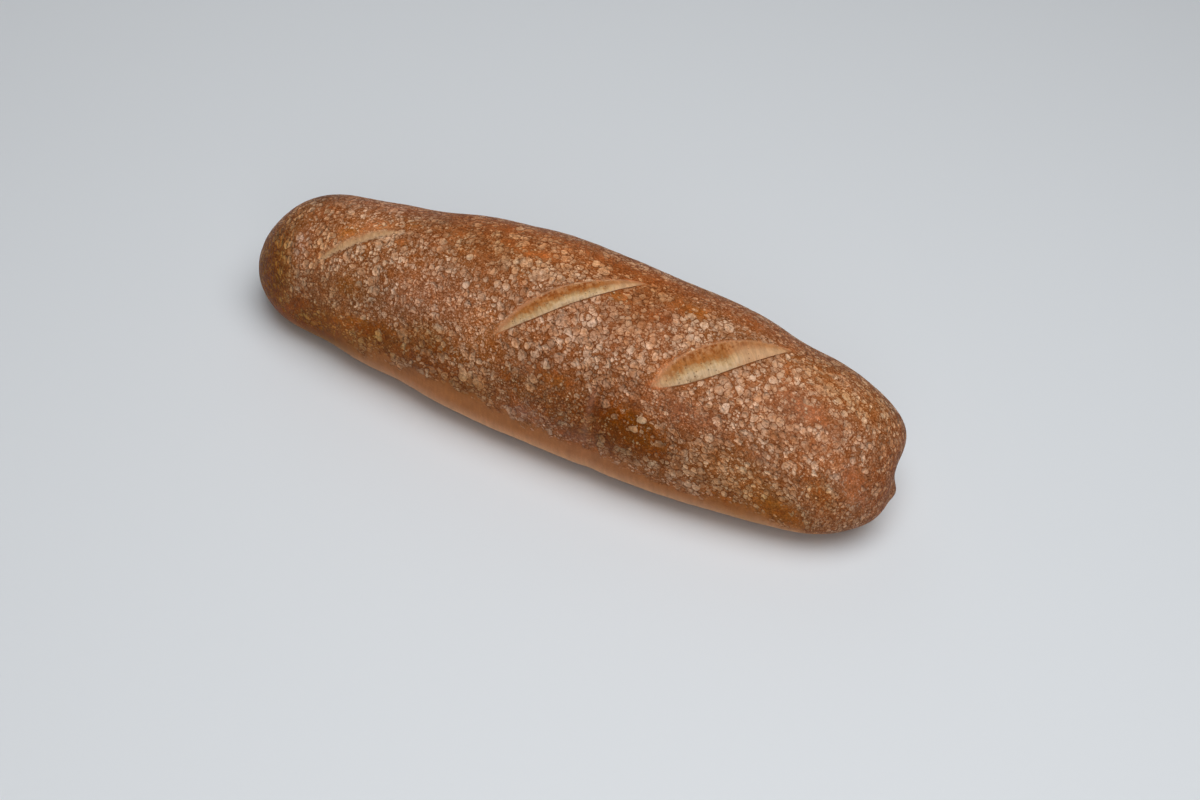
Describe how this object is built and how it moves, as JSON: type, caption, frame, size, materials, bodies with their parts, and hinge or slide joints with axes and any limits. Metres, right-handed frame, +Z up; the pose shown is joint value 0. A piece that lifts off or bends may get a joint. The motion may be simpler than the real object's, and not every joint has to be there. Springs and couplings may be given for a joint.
{
  "type": "long white loaf",
  "caption": "Long bulging white bread loaf with a browned, blistered crust, slanting slashes across the top, rounded ends and a flat base.",
  "frame": {"origin": "middle of the bounding box's underside, on the surface the loaf rests on", "axes": "+X along the loaf towards its blunter, wider end, +Z up through the slashed top, -Y the side that the lower tips of the slashes reach towards"},
  "size_m": [0.3562, 0.1082, 0.0876],
  "materials": {
    "crust": "satin"
  },
  "bodies": {
    "root": {"loaf": "crust"}
  },
  "joints": []
}
